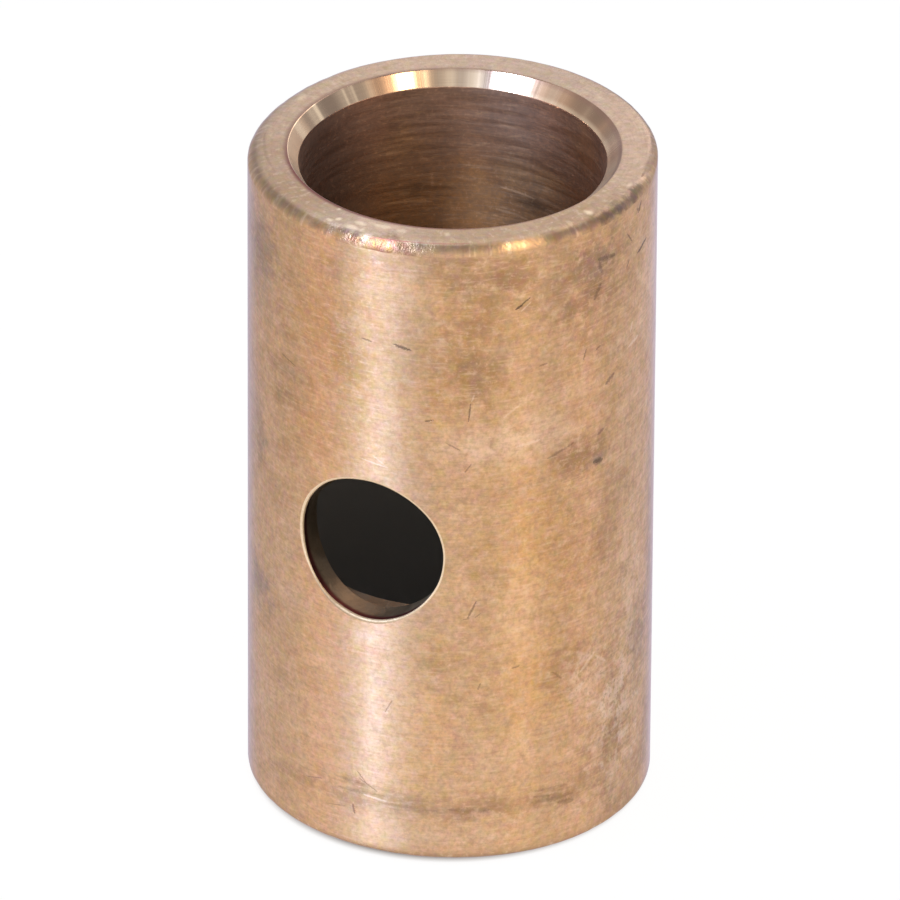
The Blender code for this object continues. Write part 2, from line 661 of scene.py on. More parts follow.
def fan(edge, radius, rim_across, rim_height, steps, wavy):
    """Lay rings from a window's edge in to a rim on the same cylinder, closer together near the rim."""
    theta, height = unrolled(edge)
    rim_theta = np.arcsin(rim_across / radius)
    rows = [edge]
    for step in range(1, steps + 1):
        share = 1 - (1 - step / steps) ** FAN_CROWDING
        t = theta + (rim_theta - theta) * share
        h = height + (rim_height - height) * share
        rows.append(add_points(outside_radius(t, h) if wavy else radius, t, h))
    return rows


print(f"side hole's outline {2 * HOLE_HALF_WIDTH / MM:.2f} x {2 * HOLE_HALF_HEIGHT / MM:.2f} mm")

# %% Fan, deburred rim, drilled wall and the fan inside the relief
outer_edge = window_edge(wall_grid, window_first, window_last)
inner_edge = window_edge(relief_grid[::-1], 0, WINDOW_ROWS)
theta, height = unrolled(outer_edge)
phi_outer = np.unwrap(np.arctan2(height - HOLE_Z, theta * OUTER))
theta, height = unrolled(inner_edge)
phi_inner = np.unwrap(np.arctan2(height - HOLE_Z, theta * RELIEF))
burr = DEBURR * (1 + DEBURR_WAVER * ripple(phi_outer, 1.6, seed=53.0))

across, height = outline(phi_outer, burr)
fan_rows = fan(outer_edge, OUTER, across, height, FAN_RINGS, wavy=True)
for row, after in zip(fan_rows, fan_rows[1:]):
    skin(row, after, "wall")

lip_across, lip_height = across, height
lip_depth = -np.sqrt(OUTER ** 2 - across ** 2)
across, height = outline(phi_outer)
corner_depth = -np.sqrt(OUTER ** 2 - across ** 2)
row = fan_rows[-1]
for step in range(1, DEBURR_STEPS + 1):
    share = step / DEBURR_STEPS
    lip, corner, wall = (1 - share) ** 2, 2 * share * (1 - share), share ** 2
    x = lip * lip_across + (corner + wall) * across
    y = lip * lip_depth + corner * corner_depth + wall * (corner_depth + burr)
    z = lip * lip_height + (corner + wall) * height
    after = add_points(np.hypot(x, y), np.arctan2(x, -y), z)
    skin(row, after, "deburr")
    row = after

start_depth = corner_depth + burr
for step in range(1, DRILLED_RINGS + 1):
    share = step / DRILLED_RINGS
    x, z = outline(phi_outer + (phi_inner - phi_outer) * share)
    end_depth = -np.sqrt(RELIEF ** 2 - x ** 2)
    y = start_depth + (end_depth - start_depth) * share
    after = add_points(np.hypot(x, y), np.arctan2(x, -y), z)
    skin(row, after, "drilled")
    row = after
drilled_end = row

across, height = outline(phi_inner)
fan_rows = fan(inner_edge, RELIEF, across, height, RELIEF_FAN_RINGS, wavy=False)[:-1]
for row, after in zip(fan_rows, fan_rows[1:]):
    skin(row, after, "relief")
skin(fan_rows[-1], drilled_end, "relief")
print("points in all:", len(points), "faces:", len(faces))

# %% [markdown]
# ## Effects as node groups
#
# Several finishes need the same effect, such as rings or tarnish. Copying its nodes into each material
# would make many trees to keep alike, so each effect is a node group, built once, with named inputs that
# every material fills with its own values.

# %% Make and place a node group
def new_group(name, inputs, outputs):
    """Start a node group and return its tree, its inputs by name, and its output sockets by name."""
    group = bpy.data.node_groups.new(name, "ShaderNodeTree")
    for label, kind, value in inputs:
        socket = group.interface.new_socket(label, in_out="INPUT", socket_type="NodeSocket" + kind)
        if value is not None:
            socket.default_value = value
    for label, kind in outputs:
        group.interface.new_socket(label, in_out="OUTPUT", socket_type="NodeSocket" + kind)
    start = group.nodes.new("NodeGroupInput")
    end = group.nodes.new("NodeGroupOutput")
    return group, start.outputs, end.inputs


def use_group(tree, group, **values):
    """Place a group in a tree and fill its inputs; an underscore stands for a space."""
    made = node(tree, "Group", node_tree=group)
    for name, value in values.items():
        put(tree, made.inputs[name.replace("_", " ")], value)
    return made.outputs


# %% [markdown]
# ## Where on the sleeve
#
# Every effect needs to know its place. `sleeve_place` turns a point into millimetres and unrolls the
# outside like a paper label: how far round, and how high, with the label folded in over both ends. A
# second label counts from the back, for the bore and its mouth, because their far side is the one that
# shows. Effects that must not show a seam use the plain direction from the axis instead of the angle.

# %% Node group: place on the sleeve
sleeve_place, given, result = new_group(
    "sleeve_place",
    [("Position", "Vector", None)],
    [("Millimetres", "Vector"), ("Unrolled", "Vector"), ("Unrolled From Back", "Vector"),
     ("Outward", "Vector"), ("Radius", "Float")],
)
tree = sleeve_place
millimetres = turn_vector(tree, "SCALE", given["Position"], 1 / MM)
x, y, z = split(tree, millimetres)
flat = combine(tree, x, y, 0.0)
radius = turn_vector(tree, "LENGTH", flat)
inward = calc(tree, "SUBTRACT", OUTER / MM, radius)
end = calc(tree, "SIGN", calc(tree, "SUBTRACT", z, LENGTH / 2 / MM))
folded = calc(tree, "MULTIPLY_ADD", inward, end, z)
put(tree, result["Millimetres"], millimetres)
for label, side, ahead, up in (("Unrolled", x, times(tree, y, -1.0), folded),
                               ("Unrolled From Back", times(tree, x, -1.0), y, z)):
    angle = calc(tree, "ARCTAN2", side, ahead)
    put(tree, result[label], combine(tree, times(tree, angle, OUTER / MM), up, 0.0))
put(tree, result["Outward"], turn_vector(tree, "NORMALIZE", flat))
put(tree, result["Radius"], radius)
print("group:", tree.name)

# %% [markdown]
# ## Turning lines
#
# The lathe's tool left fine rings, and an emery cloth drew them out. They are noise stretched round the
# sleeve: it changes quickly with height and slowly with direction. Adding the radius to the height lets
# the same group draw rings on the flat ends and cones too. Real grooves would need millions of faces.

# %% Node group: turning lines
RADIUS_SHARE = 1.7
turning_lines, given, result = new_group(
    "turning_lines",
    [("Position", "Vector", None), ("Around", "Float", 3.0), ("Per Millimetre", "Float", 8.0),
     ("Detail", "Float", 3.0)],
    [("Lines", "Float")],
)
tree = turning_lines
place = use_group(tree, sleeve_place, Position=given["Position"])
stretched = turn_vector(tree, "SCALE", place["Outward"], given["Around"])
height = split(tree, place["Millimetres"])[2]
slant = calc(tree, "MULTIPLY_ADD", place["Radius"], RADIUS_SHARE, height)
x, y, z = split(tree, stretched)
lines = combine(tree, x, y, times(tree, slant, given["Per Millimetre"]))
put(tree, result["Lines"], grain(tree, lines, 1.0, given["Detail"], 0.6))
print("group:", tree.name)

# %% [markdown]
# ## Tarnish
#
# Handled bronze goes brown in soft clouds. The clouds come from two sizes of noise, and a limit says how
# much of the surface they cover. Noise in space has no seam, so the clouds run on over every edge.

# %% Node group: tarnish clouds
SMALL_TO_LARGE = 4.3
SMALL_SHARE = 0.35
tarnish_clouds, given, result = new_group(
    "tarnish_clouds",
    [("Position", "Vector", None), ("Size", "Float", 2.0), ("Cover", "Float", 0.5),
     ("Softness", "Float", 0.15), ("Seed", "Float", 0.0)],
    [("Mask", "Float")],
)
tree = tarnish_clouds
place = use_group(tree, sleeve_place, Position=given["Position"])
moved = turn_vector(tree, "ADD", place["Millimetres"], combine(tree, given["Seed"], 0.0, given["Seed"]))
per_millimetre = calc(tree, "DIVIDE", 1.0, given["Size"])
large = grain(tree, moved, per_millimetre, 3.0, 0.6, 0.4)
small = grain(tree, moved, times(tree, per_millimetre, SMALL_TO_LARGE), 2.0, 0.5)
clouds = calc(tree, "MULTIPLY_ADD", small, SMALL_SHARE, times(tree, large, 1 - SMALL_SHARE))
limit = calc(tree, "SUBTRACT", 1.0, given["Cover"])
middle = calc(tree, "MULTIPLY_ADD", limit, 0.5, 0.25)
low = calc(tree, "SUBTRACT", middle, given["Softness"])
high = plus(tree, middle, given["Softness"])
put(tree, result["Mask"], ramp(tree, clouds, low, high))
print("group:", tree.name)

# %% [markdown]
# ## Scratches and smudges in chosen places
#
# A few marks are large enough to be known one by one. A scratch is the distance to a short line on the
# unrolled outside, thin at both ends. A smudge is a soft oval with a cloudy edge. An image could hold
# them as well, but a formula stays sharp from close by, and a mark is moved by changing one number.

# %% Node groups: one scratch, one smudge
END_TAPER = 0.4
EDGE_BREAKUP = 2.4

scratch, given, result = new_group(
    "scratch",
    [("Unrolled", "Vector", None), ("Start", "Vector", None), ("End", "Vector", None),
     ("Width", "Float", 0.1)],
    [("Mask", "Float")],
)
tree = scratch
along = turn_vector(tree, "SUBTRACT", given["End"], given["Start"])
reach = turn_vector(tree, "SUBTRACT", given["Unrolled"], given["Start"])
square = turn_vector(tree, "DOT_PRODUCT", along, along)
share = calc(tree, "DIVIDE", turn_vector(tree, "DOT_PRODUCT", reach, along), square)
share = calc(tree, "MINIMUM", calc(tree, "MAXIMUM", share, 0.0), 1.0)
nearest = turn_vector(tree, "SCALE", along, share)
away = turn_vector(tree, "LENGTH", turn_vector(tree, "SUBTRACT", reach, nearest))
rest = calc(tree, "SUBTRACT", 1.0, share)
taper = times(tree, times(tree, share, rest), 4.0)
half = times(tree, given["Width"], calc(tree, "POWER", taper, END_TAPER))
rough_edge = grain(tree, given["Unrolled"], 9.0, 2.0)
half = times(tree, half, ramp(tree, rough_edge, 0.3, 0.6, 0.5, 1.2))
put(tree, result["Mask"], ramp(tree, away, times(tree, half, 0.2), half, 1.0, 0.0))

smudge, given, result = new_group(
    "smudge",
    [("Unrolled", "Vector", None), ("Middle", "Vector", None), ("Half Size", "Vector", None),
     ("Cloud", "Float", 0.5)],
    [("Mask", "Float")],
)
tree = smudge
reach = turn_vector(tree, "SUBTRACT", given["Unrolled"], given["Middle"])
shape = turn_vector(tree, "DIVIDE", reach, given["Half Size"])
broken = calc(tree, "MULTIPLY_ADD", given["Cloud"], EDGE_BREAKUP, -EDGE_BREAKUP / 2)
away = plus(tree, turn_vector(tree, "LENGTH", shape), broken)
put(tree, result["Mask"], ramp(tree, away, 0.15, 1.2, 1.0, 0.0))
print("groups:", scratch.name, smudge.name)

# %% [markdown]
# ## Bronze
#
# All finishes start from one bronze. Turned metal spreads light across its lines much more than along
# them, so the shader is anisotropic, with the wide direction set square to the rings.

# %% Start of every bronze finish
BRONZE = (0.72, 0.425, 0.225, 1.0)
BROWN = (0.33, 0.19, 0.10, 1.0)
GOLDEN = (0.55, 0.29, 0.12, 1.0)
HONEY = (1.0, 0.53, 0.19, 1.0)
RUBBED_AND_HIGHLIGHT = (0.85, 0.56, 0.38, 1.0)
CHALKY = (0.86, 0.64, 0.50, 1.0)
DARK = (0.055, 0.035, 0.025, 1.0)
# Brown of the worn edges, partly wear and partly painted shade for the dark surroundings they mirror
EDGE_BROWN_AND_SHADE = (0.45, 0.275, 0.15, 1.0)
SPECULAR_TINT = (0.71, 0.74, 0.88, 1.0)
# Colour of the painted sheen where the metal is seen edge on
GRAZING_SHEEN_COLOR = (0.68, 0.60, 0.76, 1.0)
DRIFT_PER_MM = 2.0


def bronze(name, roughness, spread):
    """Start a bronze material; return it with its tree, shader, position and place."""
    material = bpy.data.materials.new(name)
    material.use_nodes = True
    tree = material.node_tree
    shader = tree.nodes["Principled BSDF"]
    values = {"Base Color": BRONZE, "Metallic": 1.0, "Specular Tint": SPECULAR_TINT, "Roughness": roughness,
              "Anisotropic": spread, "Anisotropic Rotation": 0.25}
    for socket, value in values.items():
        shader.inputs[socket].default_value = value
    tangent = node(tree, "Tangent", direction_type="RADIAL", axis="Z")
    put(tree, shader.inputs["Tangent"], tangent.outputs[0])
    position = node(tree, "TexCoord").outputs["Object"]
    place = use_group(tree, sleeve_place, Position=position)
    return material, tree, shader, position, place


def painted_grazing_sheen(tree, color):
    """Paint a pale bluish sheen into the colour where the metal is seen edge on, standing in for the sky it
    reflects there.
    """
    facing = node(tree, "LayerWeight").outputs["Facing"]
    return blend(tree, ramp(tree, facing, 0.70, 1.0, 0.0, 0.5), color, GRAZING_SHEEN_COLOR)


def hue_drift(tree, color, place, share):
    """Push the colour a little towards red, green or blue from spot to spot."""
    tint = node(tree, "TexNoise")
    put(tree, tint.inputs["Vector"], place["Millimetres"])
    put(tree, tint.inputs["Scale"], DRIFT_PER_MM)
    put(tree, tint.inputs["Detail"], 2.0)
    mixed = node(tree, "Mix", data_type="RGBA", blend_type="LINEAR_LIGHT")
    put(tree, mixed.inputs[0], share)
    put(tree, mixed.inputs[6], color)
    put(tree, mixed.inputs[7], tint.outputs["Color"])
    return mixed.outputs[2]


def tarnish(tree, position, size, seed=0.0, cover=0.5, softness=0.15):
    """Return a mask of soft clouds, with their size in mm."""
    return use_group(tree, tarnish_clouds, Position=position, Size=size, Seed=seed, Cover=cover,
                     Softness=softness)["Mask"]


def turned(tree, position, around, per_millimetre):
    """Return turning lines from 0 to 1; a small number around draws them out long."""
    return use_group(tree, turning_lines, Position=position, Around=around,
                     Per_Millimetre=per_millimetre)["Lines"]


def bump(tree, shader, *layers):
    """Stack bumps, each a pair of height and depth in mm, and feed them to the shader."""
    normal = None
    for height, depth in layers:
        made = node(tree, "Bump")
        put(tree, made.inputs["Height"], height)
        put(tree, made.inputs["Distance"], depth * MM)
        if normal is not None:
            put(tree, made.inputs["Normal"], normal)
        normal = made.outputs[0]
    put(tree, shader.inputs["Normal"], normal)


# %% [markdown]
# The outside is satin, with soft clouds of brown and golden tarnish, dark nicks, pale rubs and fine
# rings. Some of the colour is painted light: it turns darker and more golden towards the top as painted
# shade, some pale patches are painted highlights on the lamps' bands, and the brown band low on the wall
# is partly painted shade for the darker floor it mirrors. The lists give what stands out, in degrees
# round the sleeve and millimetres up. They run on over the edge and the end face, where each millimetre
# in counts as one more millimetre up. The bore and its mouth have lists of their own, with the angle
# counted from the back.

# %% Scratches on the outside
# Start and end (degrees, mm), width in mm, strength
SCRATCHES = (
    ((-1.7, 36.9), (1.4, 36.8), 0.1, 0.5), ((7.9, 36.9), (13.0, 36.6), 0.16, 0.65),
    ((-31.6, 33.4), (-24.7, 33.1), 0.08, 0.4), ((16.8, 31.7), (19.3, 31.8), 0.1, 0.55),
    ((42.1, 39.3), (44.3, 39.6), 0.12, 0.75), ((44.0, 39.6), (46.5, 40.0), 0.09, 0.6),
    ((29.0, 31.7), (29.6, 33.0), 0.09, 0.55), ((22.9, 30.2), (26.8, 29.7), 0.08, 0.4),
    ((28.0, 28.1), (29.9, 28.7), 0.08, 0.4), ((29.1, 17.7), (31.6, 18.9), 0.12, 0.5),
    ((31.1, 17.7), (32.8, 18.0), 0.08, 0.35), ((27.7, 17.6), (29.7, 17.7), 0.08, 0.35),
    ((64.0, 34.5), (65.0, 35.2), 0.1, 0.4), ((72.7, 32.0), (76.7, 32.5), 0.24, 0.45),
    ((69.7, 28.7), (72.5, 29.0), 0.18, 0.4), ((49.4, 35.0), (51.9, 35.1), 0.1, 0.35),
    ((88.3, 39.7), (94.9, 40.1), 0.16, 0.7), ((88.6, 42.5), (90.6, 43.2), 0.13, 0.7),
    ((82.3, 41.7), (85.1, 40.9), 0.1, 0.5), ((82.0, 39.3), (83.6, 39.8), 0.1, 0.4),
    ((48.5, 4.2), (54.2, 4.0), 0.18, 0.22), ((-20.8, 4.1), (-14.3, 4.5), 0.07, 0.35),
    ((-4.1, 3.4), (-3.4, 2.7), 0.14, 0.5), ((-2.2, 5.4), (3.7, 4.7), 0.08, 0.4),
    ((-2.8, 5.9), (0.3, 5.1), 0.07, 0.35), ((-13.2, 2.8), (-6.3, 3.1), 0.07, 0.3),
    ((54.4, 12.9), (57.5, 12.2), 0.16, 0.28), ((41.8, 13.8), (44.2, 13.9), 0.1, 0.4),
    ((32.1, 12.5), (32.9, 13.0), 0.1, 0.35), ((68.5, 34.8), (70.5, 35.0), 0.12, 0.4),
    ((56.5, 3.3), (62.1, 3.1), 0.3, 0.28), ((6.0, 10.6), (8.0, 11.5), 0.08, 0.3),
    ((-10, 5.1), (9, 4.9), 0.2, 0.16), ((-9, 4.35), (6, 4.45), 0.2, 0.18),
    ((6, 3.95), (21, 3.8), 0.2, 0.16), ((24, 3.9), (36, 3.75), 0.24, 0.22),
    ((48, 3.8), (62, 3.6), 0.24, 0.2), ((49, 4.6), (60, 4.4), 0.2, 0.16),
    ((69.0, 41.15), (76.5, 40.85), 0.26, 0.4), ((68.0, 38.4), (70.5, 39.4), 0.28, 0.35),
    ((69.5, 41.0), (71.0, 40.1), 0.22, 0.35), ((68.0, 26.9), (72.0, 26.8), 0.3, 0.6),
    ((52.0, 28.3), (61.0, 28.9), 0.16, 0.3), ((90.0, 42.6), (87.5, 42.9), 0.16, 0.4),
    ((150, 30.0), (163, 31.2), 0.09, 0.6), ((-140, 12.0), (-132, 13.5), 0.1, 0.5),
    ((-95, 36.0), (-88, 34.0), 0.08, 0.5), ((118, 18.0), (121, 14.0), 0.08, 0.4),
    ((-165, 38.0), (-171, 36.4), 0.09, 0.5),
)
LIGHT_SCRATCHES = (
    ((83.6, 33.6), (89.7, 33.8), 0.2, 0.35), ((84.6, 34.5), (85.7, 35.2), 0.16, 0.3),
    ((-0.9, 4.3), (6.4, 4.1), 0.12, 0.3), ((1.8, 28.8), (5.7, 28.2), 0.1, 0.2),
    ((-1.9, 28.4), (6.6, 28.1), 0.09, 0.25), ((29.8, 33.1), (30.6, 33.6), 0.09, 0.25),
    ((38.9, 31.8), (43.8, 32.6), 0.12, 0.2), ((42.4, 29.6), (49.9, 29.8), 0.16, 0.25),
    ((43.6, 39.1), (46.8, 39.7), 0.08, 0.25), ((64.0, 12.2), (69.5, 13.2), 0.2, 0.25),
    ((69.8, 12.9), (74.1, 12.1), 0.16, 0.25), ((130, 16.0), (139, 16.4), 0.1, 0.3),
    ((-120, 38.0), (-112, 37.6), 0.1, 0.3),
)
print("scratches:", len(SCRATCHES), "dark,", len(LIGHT_SCRATCHES), "light")

# %% Patches on the outside
# Middle (degrees, mm), half width and half height in mm, strength
GOLDEN_PATCHES = (
    (44, 17.0, 3.6, 15.0, 0.35), (-4, 43.0, 3.0, 1.2, 0.4), (-6, 35.0, 2.4, 3.6, 1.0),
    (15, 33.8, 2.0, 2.8, 0.9), (-3, 41.4, 1.4, 1.6, 0.55), (52, 25.0, 1.8, 2.8, 0.4),
    (60, 12.6, 3.2, 3.0, 0.5), (42, 12.4, 2.2, 1.6, 0.4), (70, 20.4, 2.0, 2.8, 0.4),
    (-28, 27.0, 1.4, 1.2, 0.4), (0, 4.8, 2.4, 1.0, 0.45), (-12, 37.0, 4.6, 5.5, 0.6),
    (-3.5, 36.3, 0.9, 3.0, 0.75), (-2, 31.8, 0.9, 2.4, 0.65), (-18, 29.5, 4.0, 3.5, 0.5),
    (27, 37.0, 4.0, 6.0, 0.65), (12, 29.5, 2.4, 2.6, 0.4), (58, 21.0, 4.5, 3.4, 0.4),
    (50, 12.4, 2.8, 0.9, 0.5), (20, 15.0, 2.0, 1.6, 0.4), (62, 27.6, 3.6, 1.2, 0.4),
    (-130, 33.0, 6.0, 6.0, 0.5), (145, 22.0, 5.0, 7.0, 0.5), (125, 34.0, 5.0, 5.0, 0.4),
    (-100, 12.0, 4.0, 5.0, 0.4),
)
HONEY_PATCHES = (
    (50, 17.0, 3.0, 14.0, 0.35), (16, 9.0, 2.0, 8.0, 0.3), (16, 31.0, 1.8, 4.0, 0.2),
    (16, 41.0, 1.8, 2.0, 0.35),
)
# Brown tarnish; the patches about 4 mm up are partly painted shade, for the darker floor the wall's foot
# mirrors.
BROWN_TARNISH_AND_SHADE = (
    (-6, 36.5, 3.0, 3.0, 0.2), (26, 36.5, 2.6, 1.4, 0.25), (72, 21.5, 1.8, 3.0, 0.25),
    (82, 1.2, 2.0, 0.8, 0.3), (41, 40.1, 2.6, 1.1, 0.4), (73, 38.5, 1.4, 1.4, 0.4),
    (57, 19.0, 2.6, 14.0, 0.15), (-11, 41.2, 1.4, 1.2, 0.45), (29, 41.0, 2.0, 1.3, 0.5),
    (42, 41.4, 2.6, 1.8, 0.8), (67, 40.8, 2.8, 2.6, 0.8), (62, 38.4, 2.2, 1.2, 0.7),
    (63, 27.8, 2.6, 1.9, 0.75), (-2, 3.8, 3.0, 0.7, 0.6), (12, 4.2, 3.0, 0.9, 0.55),
    (76, 6.0, 1.6, 1.8, 0.55), (80, 9.0, 1.0, 1.6, 0.4), (59, 13.4, 2.2, 1.8, 0.4),
    (-30, 30.4, 1.2, 1.0, 0.35), (-33, 32.4, 2.0, 0.8, 0.3), (30, 3.8, 3.6, 0.8, 0.65),
    (58, 3.7, 3.0, 0.8, 0.6), (93, 11.5, 1.6, 3.4, 0.4), (102, 5.0, 1.6, 4.0, 0.5),
    (66, 6.4, 1.2, 0.9, 0.4), (-8, 37.2, 1.8, 1.6, 0.3), (-3.5, 35.3, 1.2, 1.3, 0.35),
    (-22, 32.4, 1.6, 0.9, 0.35), (-43, 39.6, 2.6, 2.6, 0.5), (-46, 25.5, 1.5, 2.2, 0.35),
    (-45, 15.6, 1.7, 1.2, 0.45), (31, 34.8, 1.8, 2.3, 0.62), (25, 41.9, 3.4, 1.2, 0.4),
    (40, 42.4, 3.4, 0.9, 0.4), (80, 24.0, 2.6, 2.6, 0.25), (62, 42.6, 2.8, 1.0, 0.4),
    (29, 38.2, 1.5, 1.2, 0.35), (-10, 41.8, 1.0, 0.8, 0.35), (0, 42.7, 2.4, 0.5, 0.45),
    (24, 42.9, 3.0, 0.5, 0.4), (38, 40.6, 1.3, 0.9, 0.5), (56, 40.2, 2.6, 2.0, 0.4),
    (67, 39.4, 1.9, 1.7, 0.75), (73, 40.8, 1.5, 0.6, 0.65), (65, 36.3, 1.3, 1.6, 0.4),
    (64, 28.7, 2.6, 0.45, 0.5), (70, 27.0, 0.9, 0.5, 0.7), (72, 20.8, 1.1, 0.8, 0.4),
    (36, 20.8, 1.0, 0.5, 0.35), (57, 14.2, 1.4, 0.6, 0.55), (55, 12.2, 1.8, 0.8, 0.35),
    (20, 14.2, 1.3, 0.8, 0.35), (26, 11.8, 0.8, 0.5, 0.4), (-41, 14.0, 0.9, 0.9, 0.35),
    (-3.5, 4.4, 1.3, 1.2, 0.6), (5, 3.8, 1.6, 0.8, 0.5), (18, 3.8, 2.2, 0.7, 0.5),
    (32, 4.1, 2.6, 0.9, 0.55), (52, 4.0, 2.6, 0.8, 0.42), (65, 4.4, 1.5, 1.2, 0.45),
    (76, 6.0, 1.3, 0.8, 0.5), (76, 2.6, 1.2, 0.9, 0.4), (90, 3.4, 1.4, 1.0, 0.35),
    (-25, 3.8, 2.2, 0.8, 0.35), (-37, 23.0, 0.9, 2.0, 0.25), (103, 17.0, 1.4, 10.0, 0.55),
    (98, 3.0, 2.0, 2.0, 0.45), (-110, 22.0, 4.0, 4.0, 0.35), (150, 12.0, 5.0, 3.0, 0.4),
    (-150, 34.0, 4.0, 3.0, 0.35), (124, 26.0, 3.0, 4.0, 0.35),
)
PITTED = (
    (78, 8.0, 3.6, 6.5, 1.0), (66, 12.0, 2.4, 2.6, 0.8), (88, 16.0, 2.2, 6.0, 0.5),
)
GREY_PATCHES = (
    (-46, 39.2, 3.2, 4.2, 0.42), (-48, 27.0, 1.8, 4.2, 0.35), (-46, 15.4, 2.6, 2.2, 0.55),
    (68, 41.0, 2.2, 1.8, 0.3), (69.5, 27.0, 1.0, 0.7, 0.45), (92, 12.0, 1.6, 3.6, 0.45),
    (38, 36.4, 1.6, 1.2, 0.25),
)
# Pale rubs, and painted highlights that strengthen the lamps' bands in places.
PALE_RUBS_AND_HIGHLIGHTS = (
    (44, 17.5, 2.6, 3.6, 0.4), (48, 7.6, 1.4, 2.6, 0.3), (16, 40.0, 1.2, 3.5, 0.3),
    (53, 30.3, 1.6, 1.6, 0.3), (9, 22.0, 2.0, 20.0, 0.3), (3, 15.6, 1.4, 0.9, 0.6),
    (42, 29.8, 5.6, 1.7, 0.75), (50, 30.0, 1.9, 2.1, 0.8), (104, 38.0, 1.8, 5.0, 0.6),
    (93, 39.8, 1.2, 1.2, 0.5), (14, 42.0, 1.4, 1.2, 0.4), (50, 8.6, 1.4, 1.2, 0.35),
    (-27, 16.6, 2.4, 1.6, 0.35), (88, 23.0, 3.0, 18.0, 0.35), (46, 31.0, 1.6, 1.2, 0.45),
    (50, 30.6, 2.6, 1.0, 0.65), (58, 32.6, 3.0, 0.9, 0.35), (30, 29.9, 3.4, 0.9, 0.35),
    (14, 33.6, 1.0, 3.4, 0.3), (13, 40.5, 2.4, 1.4, 0.3), (2.5, 9.5, 0.95, 7.0, 0.5),
    (-25, 16.6, 1.8, 0.9, 0.45), (-14, 13.0, 1.6, 1.0, 0.3), (-43, 7.5, 2.6, 2.6, 0.35),
    (-28, 20.5, 1.6, 3.5, 0.3), (67, 11.2, 1.9, 1.4, 0.55), (75, 9.0, 2.0, 1.6, 0.45),
    (96, 36.0, 2.4, 6.0, 0.6), (84, 34.0, 2.2, 1.6, 0.4), (69, 23.8, 1.2, 0.8, 0.35),
    (-22, 8.0, 3.4, 3.6, 0.25), (38, 7.5, 3.5, 2.0, 0.25), (22, 1.9, 5.0, 0.7, 0.35),
    (-90, 27.0, 3.0, 5.0, 0.35), (-150, 18.0, 4.0, 3.0, 0.35), (140, 38.0, 4.0, 2.0, 0.35),
)
print("patches:", len(BROWN_TARNISH_AND_SHADE), "brown,", len(PALE_RUBS_AND_HIGHLIGHTS), "pale,", len(GOLDEN_PATCHES), "golden")

# %% Marks, painted shade and painted highlights on the worn edges and the end faces
EDGE_STROKES = (
    ((1.5, 44.3), (2.5, 43.5), 0.12, 0.7), ((-3.0, 43.9), (-0.5, 43.6), 0.22, 0.6),
    ((40.5, 44.4), (43, 43.6), 0.16, 0.22), ((43.5, 44.4), (46, 43.8), 0.14, 0.2),
    ((46.5, 44.3), (48.5, 43.5), 0.16, 0.22), ((50, 44.4), (51.5, 43.3), 0.16, 0.22),
    ((72, 44.3), (78, 43.6), 0.2, 0.6), ((84, 44.5), (97, 44.2), 0.24, 0.3),
    ((97, 44.5), (123, 44.2), 0.26, 0.55), ((-75, 44.9), (-50, 45.3), 0.2, 0.25),
    ((-70, -0.4), (80, -0.4), 0.5, 0.45), ((140, 44.2), (176, 44.2), 0.3, 0.4),
    ((-176, 44.2), (-140, 44.2), 0.3, 0.4),
)
# Dark patches on the worn edges: partly tarnish, partly painted shade for the dark surroundings they mirror
# and to trim the lamps' highlights.
EDGE_TARNISH_AND_SHADE = (
    (-36, 44.0, 4.8, 0.66, 0.34), (-16, 43.8, 1.4, 0.5, 0.5), (-5, 44.3, 1.3, 0.3, 0.6),
    (15.0, 44.2, 1.0, 0.5, 0.45), (24, 44.1, 2.4, 0.6, 0.48), (33, 44.1, 1.8, 0.6, 0.48),
    (56, 44.0, 2.2, 0.6, 0.55), (66, 44.0, 3.2, 0.78, 0.6), (77, 44.0, 2.6, 0.88, 0.92),
    (88, 44.05, 3.0, 0.86, 0.92), (104, 44.3, 2.4, 0.35, 0.6), (-62, 44.2, 2.4, 0.4, 0.2),
    (-120, 44.1, 4.0, 0.4, 0.4), (150, 44.1, 4.0, 0.4, 0.4),
)
# Painted shade: dark patches that tone down the key lamp's highlight on the front edge.
EDGE_HIGHLIGHT_DIMMING = (
    (3.5, 43.8, 2.4, 1.0, 1.0), (-6, 43.7, 1.6, 0.8, 0.45),
)
# Painted highlight: a lighter patch where the right lamp's highlight falls on the worn edge.
EDGE_PAINTED_HIGHLIGHT = (
    (44.5, 43.85, 1.3, 0.75, 0.6),
)
EDGE_RED = (
    ((0.5, 44.33), (12.5, 44.45), 0.12, 0.75), ((10, 44.45), (30, 44.52), 0.12, 0.45),
    ((-6, 43.15), (12, 43.2), 0.12, 0.3),
)
# Painted glints: light spots where scratches on the end face catch the lamps.
PAINTED_FACE_GLINTS = (
    (-17.0, 46.15, 0.28, 0.24, 0.8), (-13.0, 45.15, 0.26, 0.26, 0.7), (-14.8, 44.75, 0.3, 0.22, 0.6),
    (-7.0, 44.82, 0.6, 0.24, 0.6), (-3.5, 44.85, 0.3, 0.26, 0.5), (-6.0, 45.5, 0.5, 0.26, 0.6),
    (1.0, 45.75, 0.9, 0.24, 0.55), (8.0, 45.6, 0.4, 0.3, 0.45), (22.5, 45.6, 0.26, 0.34, 0.35),
    (70.0, 45.05, 0.34, 0.34, 0.75), (91.0, 44.85, 0.5, 0.22, 0.5), (-100, 45.3, 0.5, 0.3, 0.35),
    (150, 45.4, 0.5, 0.3, 0.35),
)
FACE_LIGHTS = (
    (128, 45.4, 9.0, 3.0, 0.55), (0, 45.6, 2.6, 1.2, 0.45), (-140, 45.4, 6.0, 3.0, 0.2),
)
FACE_WARMTH = (
    (30, 45.4, 7.0, 3.0, 0.6), (65, 45.4, 7.0, 3.0, 0.6), (-35, 45.3, 5.5, 3.0, 0.8),
    (-62, 45.3, 4.0, 3.0, 0.45),
)
print("marks on the edges:", len(EDGE_STROKES), "strokes,", len(EDGE_TARNISH_AND_SHADE), "shades")
